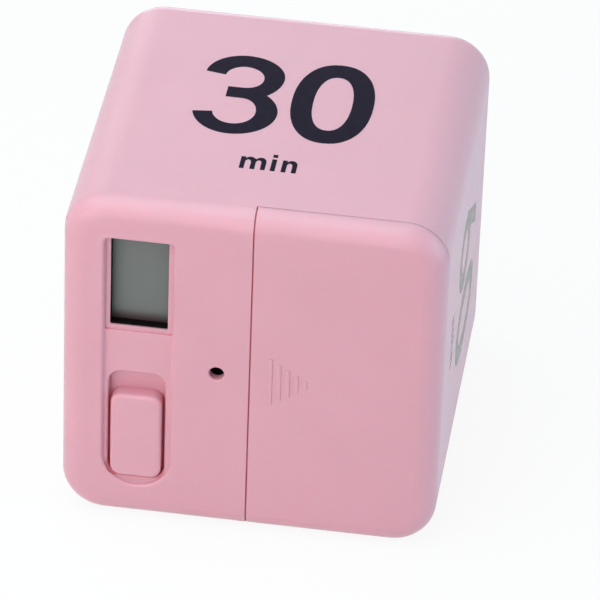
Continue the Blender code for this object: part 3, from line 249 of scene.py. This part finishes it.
def metal(name, colour, roughness, brush, scratch_depth):
    """Plated sheet or wire: fine drawn lines, duller patches and small scratches."""
    n = Nodes(name)
    lines = n.noise(0.35 * MM, 4.0, 0.7, brush)
    patches = n.noise(2.5 * MM, 3.0, 0.6)
    tone = n.mix(n.spread(patches, 0.35, 0.7), colour, darker(colour, 0.82))
    rough = n.spread(n.math("ADD", lines, patches), 0.7, 1.3, roughness - 0.07, roughness + 0.1)
    rounded, _ = n.edges(0.08 * MM, 4)
    normal = n.bump(lines, scratch_depth, 0.5, rounded)
    return n.finish(tone, rough, normal, Metallic=1.0)


def glossy(name, colour, roughness, ripple, **fixed):
    """Glossy resin or insulation: a slow ripple, dust specks and faint smears."""
    n = Nodes(name)
    tone = n.mix(n.noise(1.5 * MM, 3.0), darker(colour, 0.85), colour)
    specks = n.spread(n.noise(0.15 * MM, 1.0), 0.68, 0.75)
    tone = n.mix(n.math("MULTIPLY", specks, 0.25), tone, mixed_white(colour, 0.4))
    rough = n.spread(n.noise(1.0 * MM, 4.0, 0.7), 0.3, 0.75, roughness, roughness + 0.15)
    normal = n.bump(n.noise(ripple, 1.0), 0.03 * MM, 0.4)
    return n.finish(tone, rough, normal, **fixed)


PINK = srgb(227, 168, 182)


def pink_plastic():
    """The case: satin pink moulding that lets a little light through below its surface."""
    return moulded(
        "pink_plastic",
        PINK,
        0.36,
        0.28 * MM,
        0.012 * MM,
        0.22 * MM,
        0.4,
        # Painted shade: the case's gaps are painted deep red.
        gap_shade=srgb(226, 60, 76),
        Subsurface_Weight=0.45,
        Subsurface_Scale=0.8 * MM,
        Subsurface_Radius=(1.0, 0.4, 0.35),
        Sheen_Weight=0.25,
        Sheen_Roughness=0.3,
        Sheen_Tint=(0.66, 0.8, 1.0, 1.0),
    )


GLASS_MARGIN = 1.3 * MM
RIM_SHADE_HEIGHT = 1.5 * MM


def display_glass():
    """The display: grey-green crystal under a satin film, with painted shade: slightly darker
    towards the bottom, dark and reddish at its lower rim.
    """
    n = Nodes("display_glass")
    low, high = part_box("lcd_panel")
    up = n.spread(n.axis("Z"), low.z, high.z)
    cells = n.noise(2.5 * MM, 3.0)
    # Painted shade: the base is slightly darker towards the bottom.
    base = n.mix(up, srgb(106, 113, 111), srgb(111, 117, 113))
    base = n.mix(n.math("MULTIPLY", cells, 0.2), base, srgb(104, 112, 104))
    # Painted shade: dark and reddish over the lowest part, under the frame's lower wall.
    rim = low.z + GLASS_MARGIN
    rim_shade = n.spread(n.axis("Z"), rim, rim + RIM_SHADE_HEIGHT, 1.0, 0.0)
    base = n.mix(rim_shade, base, srgb(84, 66, 70))
    rough = n.spread(n.noise(4 * MM, 3.0), 0.3, 0.7, 0.3, 0.38)
    return n.finish(base, rough, Coat_Weight=0.2, Coat_Roughness=0.2)


def circuit_board():
    """Green solder mask over faint copper tracks."""
    n = Nodes("green_board")
    bricks = n.add("ShaderNodeTexBrick", offset=0.35, squash=0.6)
    mapping = n.add("ShaderNodeMapping")
    mapping.inputs["Rotation"].default_value = (math.radians(90), 0, 0)
    n.feed(mapping.inputs["Vector"], n.place)
    n.feed(bricks.inputs["Vector"], mapping.outputs["Vector"])
    for key, value in (("Scale", 160.0), ("Mortar Size", 0.05), ("Mortar Smooth", 0.1)):
        bricks.inputs[key].default_value = value
    tracks = bricks.outputs["Fac"]
    mask = n.mix(n.noise(5 * MM, 3.0), srgb(22, 84, 50), srgb(30, 98, 60))
    tone = n.mix(tracks, mask, srgb(46, 128, 78))
    weave = n.noise(0.4 * MM, 2.0)
    normal = n.bump(n.math("ADD", tracks, n.math("MULTIPLY", weave, 0.3)), 0.04 * MM, 0.6)
    rough = n.spread(weave, 0.3, 0.7, 0.3, 0.42)
    return n.finish(tone, rough, normal, Coat_Weight=0.3)


CELL_END = 1.3 * MM
CELL_BAND = 9 * MM


def cell_jacket():
    """A plain cell: dark wrapped jacket with a lighter band, and bright metal at both ends."""
    n = Nodes("cell_jacket")
    low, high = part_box("battery_1")
    up = n.axis("Z")
    middle = (low.z + high.z) / 2
    away = n.math("ABSOLUTE", n.math("SUBTRACT", up, middle))
    half = (high.z - low.z) / 2
    end = n.math("GREATER_THAN", away, half - CELL_END)
    band = n.math("GREATER_THAN", away, half - CELL_BAND)
    jacket = n.mix(n.noise(6 * MM, 3.0), srgb(58, 62, 72), srgb(66, 70, 80))
    tone = n.mix(band, jacket, srgb(168, 168, 166))
    tone = n.mix(end, tone, srgb(196, 194, 188))
    rough = n.spread(n.noise(1.2 * MM, 4.0, 0.7), 0.3, 0.7, 0.24, 0.38)
    normal = n.bump(n.noise(3 * MM, 2.0), 0.03 * MM, 0.3)
    n.feed(n.shader.inputs["Metallic"], n.spread(n.math("ADD", end, band), 0.0, 1.0, 0.15, 0.9))
    return n.finish(tone, rough, normal, Coat_Weight=0.4)


def printed_ink():
    """Charcoal pad-printed ink: slightly uneven in depth, over the plastic's own grain."""
    n = Nodes("dark_print")
    patchy = n.noise(1.6 * MM, 4.0, 0.6)
    tone = n.mix(n.spread(patchy, 0.3, 0.7), srgb(8, 2, 28), srgb(12, 6, 32))
    pinholes = n.spread(n.noise(0.22 * MM, 1.0), 0.74, 0.8)
    tone = n.mix(n.math("MULTIPLY", pinholes, 0.3), tone, srgb(90, 80, 92))
    rough = n.spread(patchy, 0.3, 0.7, 0.17, 0.25)
    normal = n.bump(n.noise(0.28 * MM, 2.0, 0.6), 0.01 * MM, 0.6)
    return n.finish(tone, rough, normal, Specular_IOR_Level=0.075)


def make_finishes():
    black = srgb(10, 5, 6)
    return {
        "pink_plastic": pink_plastic(),
        "black_plastic": moulded(
            "black_plastic",
            black,
            0.5,
            0.2 * MM,
            0.012 * MM,
            0.1 * MM,
            0.2,
            Specular_IOR_Level=0.1,
        ),
        "white_plastic": moulded(
            "white_plastic", srgb(224, 221, 212), 0.42, 0.25 * MM, 0.012 * MM, 0.12 * MM, 0.3
        ),
        "display_glass": display_glass(),
        "grey_rubber": moulded(
            "grey_rubber", srgb(146, 108, 116), 0.7, 0.15 * MM, 0.02 * MM, 0.1 * MM, 0.1
        ),
        "green_board": circuit_board(),
        "black_epoxy": glossy("black_epoxy", srgb(18, 18, 20), 0.22, 2.5 * MM, Coat_Weight=0.3),
        "nickel": metal("nickel", srgb(202, 199, 192), 0.28, (1.0, 0.15, 1.0), 0.008 * MM),
        "steel": metal("steel", srgb(182, 184, 188), 0.34, (0.12, 1.0, 1.0), 0.01 * MM),
        "cell_jacket": cell_jacket(),
        "wire_red": glossy("wire_red", srgb(178, 28, 26), 0.36, 1.2 * MM),
        "wire_black": glossy("wire_black", srgb(22, 22, 24), 0.36, 1.2 * MM),
        "clear_led": glossy(
            "clear_led", srgb(240, 238, 230), 0.12, 1.5 * MM, Transmission_Weight=0.6, IOR=1.5
        ),
        "black_resistor": glossy("black_resistor", srgb(30, 30, 34), 0.34, 0.5 * MM),
        "dark_print": printed_ink(),
    }


FINISH = make_finishes()


def dress_nodes():
    slots = {part["node"]: part["material_slot"] for part in frame["record"]["subparts"]}
    for name, obj in NODES.items():
        obj.data.materials.clear()
        obj.data.materials.append(FINISH[slots[name]])
        shade(obj)


dress_nodes()


# Printed numbers, drawn as outlines in millimetres with X across and Y up from the baseline

INK = 0.012 * MM
ARC = 14


def sweep(centre, radii, start, end, power=2.0, steps=ARC):
    """Points along an oval from one angle to another, in degrees; a higher power squares it up."""
    points = []
    for step in range(steps + 1):
        angle = math.radians(start + (end - start) * step / steps)
        c, s = math.cos(angle), math.sin(angle)
        across = math.copysign(abs(c) ** (2 / power), c)
        up = math.copysign(abs(s) ** (2 / power), s)
        points.append((centre[0] + radii[0] * across, centre[1] + radii[1] * up))
    return points


def digit_0():
    outer = sweep((0, 11.78), (6.72, 11.78), 0, 360, 2.25, 4 * ARC)[:-1]
    inner = sweep((0, 11.78), (3.2, 7.95), 0, 360, 2.3, 4 * ARC)[:-1]
    return [outer, inner]


def digit_3():
    outline = (
        sweep((-0.1, 17.42), (6.4, 6.12), 176, 90)
        + sweep((-0.1, 17.42), (6.72, 6.12), 90, 0)[1:]
        + sweep((-0.1, 17.42), (6.72, 7.09), 0, -47.7)[1:]
        + sweep((-0.2, 6.84), (7.1, 7.07), 49.2, 0)[1:]
        + sweep((-0.2, 6.84), (7.1, 6.84), 0, -90)[1:]
        + sweep((-0.2, 6.84), (6.77, 6.84), -90, -170)[1:]
        + sweep((-0.2, 6.84), (3.56, 3.82), -169, -90)
        + sweep((-0.2, 6.84), (3.53, 3.82), -90, 0)[1:]
        + sweep((0.3, 6.84), (3.03, 3.93), 0, 90, 2.15)[1:]
        + [(-2.22, 10.77), (-2.22, 13.87)]
        + sweep((0.18, 16.94), (3.1, 3.07), -90, 0, 2.15)
        + sweep((-0.1, 16.94), (3.38, 3.21), 0, 90)[1:]
        + sweep((-0.1, 17.1), (3.03, 3.05), 90, 177)[1:]
    )
    return [outline]


def digit_6():
    outline = [(0.8, 23.5), (4.8, 23.5), *sweep((0, 7.3), (6.8, 7.3), 95, -210, 2.0, 4 * ARC)]
    inner = sweep((0, 7.3), (3.4, 4.0), 0, 360, 2.0, 4 * ARC)[:-1]
    return [outline, inner]


def digit_1():
    return [
        [
            (3.6, 0),
            (3.6, 23.5),
            (0.9, 23.5),
            *sweep((-4.4, 23.5), (4.2, 4.4), -10, -90)[1:],
            (-4.4, 16.1),
            (0.1, 16.1),
            (0.1, 0),
        ]
    ]


def digit_5():
    outline = (
        [(5.6, 23.1), (-4.7, 23.1), (-6.2, 10.9), (-3.1, 10.6)]
        + sweep((-0.1, 8.2), (3.5, 3.9), 143, 90)
        + sweep((-0.1, 7.6), (3.45, 4.5), 90, 0)[1:]
        + sweep((-0.1, 7.6), (3.45, 4.1), 0, -90)[1:]
        + sweep((-0.1, 7.6), (3.4, 4.1), -90, -166)[1:]
        + sweep((-0.1, 7.6), (6.9, 7.6), -167, -90)
        + sweep((-0.1, 7.6), (6.95, 7.6), -90, 0)[1:]
        + sweep((-0.1, 7.6), (6.95, 7.9), 0, 90)[1:]
        + sweep((-0.1, 12.0), (3.6, 3.5), 90, 150)[1:]
        + [(-1.9, 19.7), (5.6, 19.7)]
    )
    return [outline]


DIGITS = {"0": digit_0, "1": digit_1, "3": digit_3, "5": digit_5, "6": digit_6}

STEM = 0.78
X_HEIGHT = 3.4


def arches(left, rights):
    """A stem with arches to its right, as in n and m; rights are their legs' outer edges."""
    legs = [left + STEM] + [left + right for right in rights]
    points = [(left, 0), (left, X_HEIGHT), (left + STEM, X_HEIGHT)]
    for start, right in zip(legs, legs[1:]):
        reach = 0.55 * (right - start)
        last = 0 if right == legs[-1] else 50
        points += [(start, X_HEIGHT - 0.45)]
        points += sweep((right - reach, X_HEIGHT - 1.15), (reach, 1.23), 140, last, steps=8)
    points += [(legs[-1], 0)]
    for start, right in reversed(list(zip(legs, legs[1:]))):
        inside = right - STEM
        radius = (inside - start) / 2
        points += [(inside, 0)]
        points += sweep((start + radius, X_HEIGHT - 1.55), (radius, 0.8), 0, 180, steps=8)
        points += [(start, 0)]
    return points


def block(left, low, high):
    return [(left, low), (left + STEM, low), (left + STEM, high), (left, high)]


def word_min():
    m = arches(-4.72, (2.51, 4.2))
    i_left = 0.3
    i_stem = block(i_left, 0, X_HEIGHT)
    i_dot = block(i_left, X_HEIGHT + 0.5, X_HEIGHT + 1.35)
    n = arches(2.05, (2.45,))
    return [m, i_stem, i_dot, n]


def flat_piece(name, outlines, thickness, place, finish):
    """A sheet drawn as outlines on the case, with its back on the place's own XY plane."""
    curve = bpy.data.curves.new(name, "CURVE")
    curve.dimensions = "2D"
    curve.fill_mode = "BOTH"
    curve.extrude = thickness / 2
    for points in outlines:
        spline = curve.splines.new("POLY")
        spline.points.add(len(points) - 1)
        for point, (across, up) in zip(spline.points, points):
            point.co = (across * MM, up * MM, 0, 1)
        spline.use_cyclic_u = True
    obj = bpy.data.objects.new(name, curve)
    obj.matrix_world = place @ Matrix.Translation((0, 0, thickness / 2))
    bpy.context.scene.collection.objects.link(obj)
    curve.materials.append(FINISH[finish])
    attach(obj, "case")


def face_frame(outward):
    """The print's own frame on a number face: X across, Y away from the front, Z outwards."""
    out = Vector(outward)
    up = Vector((0, 1, 0))
    across = up.cross(out)
    centre = Vector((0, 0, HALF)) + out * HALF
    rows = [(across[i], up[i], out[i], centre[i]) for i in range(3)]
    return Matrix((*rows, (0, 0, 0, 1)))


NUMBER_BASE = -7.52
WORD_BASE = -17.0
DIGIT_PLACES = {1: (0.0,), 2: (-7.78, 7.57)}


def print_numbers():
    faces = (
        ("top", (0, 0, 1), "30"),
        ("right", (1, 0, 0), "60"),
        ("bottom", (0, 0, -1), "5"),
        ("left", (-1, 0, 0), "15"),
    )
    for face, outward, number in faces:
        place = face_frame(outward)
        for order, (digit, across) in enumerate(zip(number, DIGIT_PLACES[len(number)]), 1):
            spot = place @ Matrix.Translation((across * MM, NUMBER_BASE * MM, 0))
            flat_piece(f"number_{face}_{order}", DIGITS[digit](), INK, spot, "dark_print")
        spot = place @ Matrix.Translation((0, WORD_BASE * MM, 0))
        flat_piece(f"word_{face}", word_min(), INK, spot, "dark_print")


print_numbers()


# Ledges of the case in the seams round the battery cover, outlined in millimetres like the numbers

CORNER = 7.2
RIM = 3.5
LEDGE_CLEARANCE = 0.01
LEDGE_HEIGHT = 0.5
SEAM = 0.25 * MM
COVER_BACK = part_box("battery_cover")[1].y
SPLIT_LEDGE_DEPTH = 0.3
BACK_LEDGE_DEPTH = 0.06


def round_cover(inset, radius, middle, reach):
    """The way round the battery cover from its upper to its lower seam, drawn in by an inset."""
    top = SIDE / MM - inset
    out = reach - inset
    turn = radius - inset
    upper = sweep((out - turn, top - turn), (turn, turn), 90, 0)
    lower = sweep((out - turn, inset + turn), (turn, turn), 0, -90)
    return [(middle, top), *upper, *lower, (middle, inset)]


def ledge(name, depth, radius, middle, reach, place):
    """A strip that follows a seam at a depth below the faces and fills its width."""
    outer = round_cover(depth, radius, middle, reach)
    inner = round_cover(depth + LEDGE_HEIGHT, radius, middle, reach)
    width = SEAM - 2 * LEDGE_CLEARANCE * MM
    flat_piece(name, [outer + inner[::-1]], width, place, "pink_plastic")


def fill_seams():
    start = LEDGE_CLEARANCE - SEAM / 2 / MM
    back = COVER_BACK + SEAM - LEDGE_CLEARANCE * MM
    stand_up = Matrix.Rotation(math.radians(90), 4, "X")
    behind = Matrix.Translation((0, back, 0)) @ stand_up
    ledge("cover_back_ledge", BACK_LEDGE_DEPTH, CORNER, start, HALF / MM, behind)
    face_left = Matrix.Rotation(math.radians(-90), 4, "Z") @ stand_up
    beside = Matrix.Translation((-start * MM, 0, 0)) @ face_left
    ledge("cover_split_ledge", SPLIT_LEDGE_DEPTH, RIM, -COVER_BACK / MM, HALF / MM, beside)


fill_seams()


# Floor, white surroundings, light and camera

def seen_directly(tree):
    """1 for camera, glossy and transmission rays, and 0 for the rays that light surfaces."""
    path = tree.nodes.new("ShaderNodeLightPath")
    total = None
    for key in ("Is Camera Ray", "Is Glossy Ray", "Is Transmission Ray"):
        if total is None:
            total = path.outputs[key]
            continue
        node = tree.nodes.new("ShaderNodeMath")
        node.operation = "MAXIMUM"
        tree.links.new(total, node.inputs[0])
        tree.links.new(path.outputs[key], node.inputs[1])
        total = node.outputs["Value"]
    return total


FLOOR_SIZE = 6
FLOOR_DROP = 0.05 * MM
FLOOR_ALBEDO = 0.85
FLOOR_GLOW_SHARE = 0.9
FILL_STRENGTH = 0.15
WHITE = (1, 1, 1, 1)


def make_floor():
    bpy.ops.mesh.primitive_plane_add(size=FLOOR_SIZE, location=(0, 0, -FLOOR_DROP))
    floor = bpy.context.object
    floor.name = "floor"
    material = bpy.data.materials.new("pale_floor")
    material.use_nodes = True
    tree = material.node_tree
    shader = tree.nodes["Principled BSDF"]
    shader.inputs["Base Color"].default_value = (FLOOR_ALBEDO, FLOOR_ALBEDO, FLOOR_ALBEDO, 1)
    shader.inputs["Roughness"].default_value = 0.9
    shader.inputs["Specular IOR Level"].default_value = 0.1
    glow = tree.nodes.new("ShaderNodeEmission")
    glow.inputs["Strength"].default_value = 1.0
    share = tree.nodes.new("ShaderNodeMath")
    share.operation = "MULTIPLY"
    share.inputs[1].default_value = FLOOR_GLOW_SHARE
    tree.links.new(seen_directly(tree), share.inputs[0])
    blend = tree.nodes.new("ShaderNodeMixShader")
    tree.links.new(share.outputs["Value"], blend.inputs[0])
    tree.links.new(shader.outputs[0], blend.inputs[1])
    tree.links.new(glow.outputs[0], blend.inputs[2])
    tree.links.new(blend.outputs[0], tree.nodes["Material Output"].inputs["Surface"])
    floor.data.materials.append(material)


def make_world():
    world = bpy.data.worlds.new("white_studio")
    bpy.context.scene.world = world
    world.use_nodes = True
    tree = world.node_tree
    fill = tree.nodes["Background"]
    fill.inputs["Color"].default_value = WHITE
    fill.inputs["Strength"].default_value = FILL_STRENGTH
    white = tree.nodes.new("ShaderNodeBackground")
    white.inputs["Color"].default_value = WHITE
    white.inputs["Strength"].default_value = 1.0
    blend = tree.nodes.new("ShaderNodeMixShader")
    tree.links.new(seen_directly(tree), blend.inputs[0])
    tree.links.new(fill.outputs[0], blend.inputs[1])
    tree.links.new(white.outputs[0], blend.inputs[2])
    tree.links.new(blend.outputs[0], tree.nodes["World Output"].inputs["Surface"])


def area_light(name, place, target, size, power, colour):
    light = bpy.data.lights.new(name, "AREA")
    light.shape = "DISK"
    light.size = size
    light.energy = power
    light.color = colour
    obj = bpy.data.objects.new(name, light)
    obj.location = place
    way = Vector(place) - Vector(target)
    obj.rotation_euler = way.to_track_quat("Z", "Y").to_euler()
    bpy.context.scene.collection.objects.link(obj)


def make_lights():
    """A warm light from the front left, bluish ones from above and the right, one from behind."""
    middle = (0, 0, HALF)
    area_light("key_light", (-0.15, -0.31, 0.18), middle, 0.40, 0.70, (1.0, 0.86, 0.84))
    area_light("top_light", (-0.20, -0.05, 0.60), middle, 0.80, 3.8, (0.76, 0.97, 1.0))
    area_light("side_light", (0.60, -0.05, 0.22), middle, 0.60, 2.3, (0.58, 0.86, 1.0))
    area_light("back_light", (-0.15, 0.60, 0.12), middle, 0.40, 0.9, (0.9, 0.95, 1.0))


SENSOR_WIDTH = 36.0
FOCAL_LENGTH = 326.3
NEAREST = 0.01
CAMERA_PLACE = (94.0404, -734.1310, 547.4413)
CAMERA_RIGHT = (0.98921207, 0.14324516, 0.03066428)
CAMERA_UP = (-0.10747278, 0.56741468, 0.8163885)


def make_camera():
    """The camera, placed in millimetres, with a lens and a sensor in millimetres too."""
    data = bpy.data.cameras.new("camera")
    data.sensor_width = SENSOR_WIDTH
    data.lens = FOCAL_LENGTH
    data.clip_start = NEAREST
    camera = bpy.data.objects.new("camera", data)
    right = Vector(CAMERA_RIGHT).normalized()
    back = right.cross(Vector(CAMERA_UP)).normalized()
    up = back.cross(right)
    place = Vector(CAMERA_PLACE) * MM
    rows = [(right[i], up[i], back[i], place[i]) for i in range(3)]
    camera.matrix_world = Matrix((*rows, (0, 0, 0, 1)))
    bpy.context.scene.collection.objects.link(camera)
    bpy.context.scene.camera = camera


make_floor()
make_world()
make_lights()
make_camera()
bpy.context.scene.view_settings.view_transform = "Standard"
